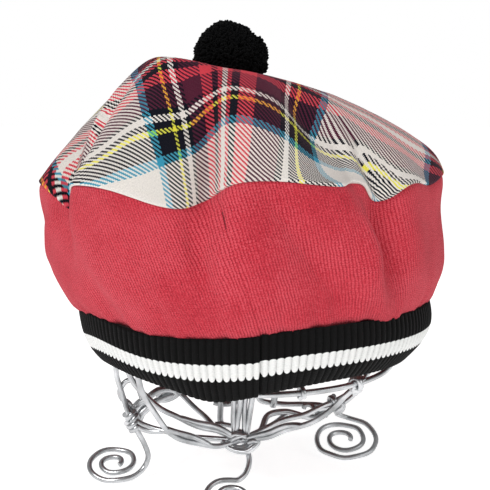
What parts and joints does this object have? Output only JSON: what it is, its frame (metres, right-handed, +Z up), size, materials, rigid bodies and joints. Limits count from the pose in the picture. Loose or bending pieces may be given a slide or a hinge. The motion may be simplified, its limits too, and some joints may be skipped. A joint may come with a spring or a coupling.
{
  "type": "pompom beret on wire stand",
  "caption": "Gathered tartan beret with a deep knitted side, a striped rib band and a yarn pompom, held up by a bent wire hat stand with scrolled feet.",
  "frame": {"origin": "middle of the footprint box, on the surface that the stand's feet rest on", "axes": "+Z up, -Y towards the side seen in the picture, +X to that view's right"},
  "size_m": [0.22, 0.224, 0.2606],
  "materials": {
    "tartan_cloth": "twill cloth in a cream, red, maroon, black, blue and yellow check",
    "red_knit": "plain soft knit, matt",
    "striped_rib": "black rib knit with one white stripe",
    "black_yarn": "cut yarn, matt",
    "bright_wire": "bright drawn wire"
  },
  "bodies": {
    "root": {"crown_top": "tartan_cloth", "side_knit": "red_knit", "rib_band": "striped_rib", "pompom": "black_yarn", "stand_hoop": "bright_wire", "stand_crown_ring": "bright_wire", "stand_inner_ring": "bright_wire", "stand_upright_1": "bright_wire", "stand_upright_2": "bright_wire", "stand_upright_3": "bright_wire", "stand_upright_4": "bright_wire", "stand_post_1": "bright_wire", "stand_post_2": "bright_wire", "stand_hub": "bright_wire", "stand_basket_front_left": "bright_wire", "stand_basket_low_left": "bright_wire", "stand_basket_left": "bright_wire", "stand_basket_right": "bright_wire", "stand_basket_rear_left": "bright_wire", "stand_basket_rear_right": "bright_wire", "stand_leg_left": "bright_wire", "stand_leg_right": "bright_wire", "stand_leg_front": "bright_wire"}
  },
  "joints": []
}
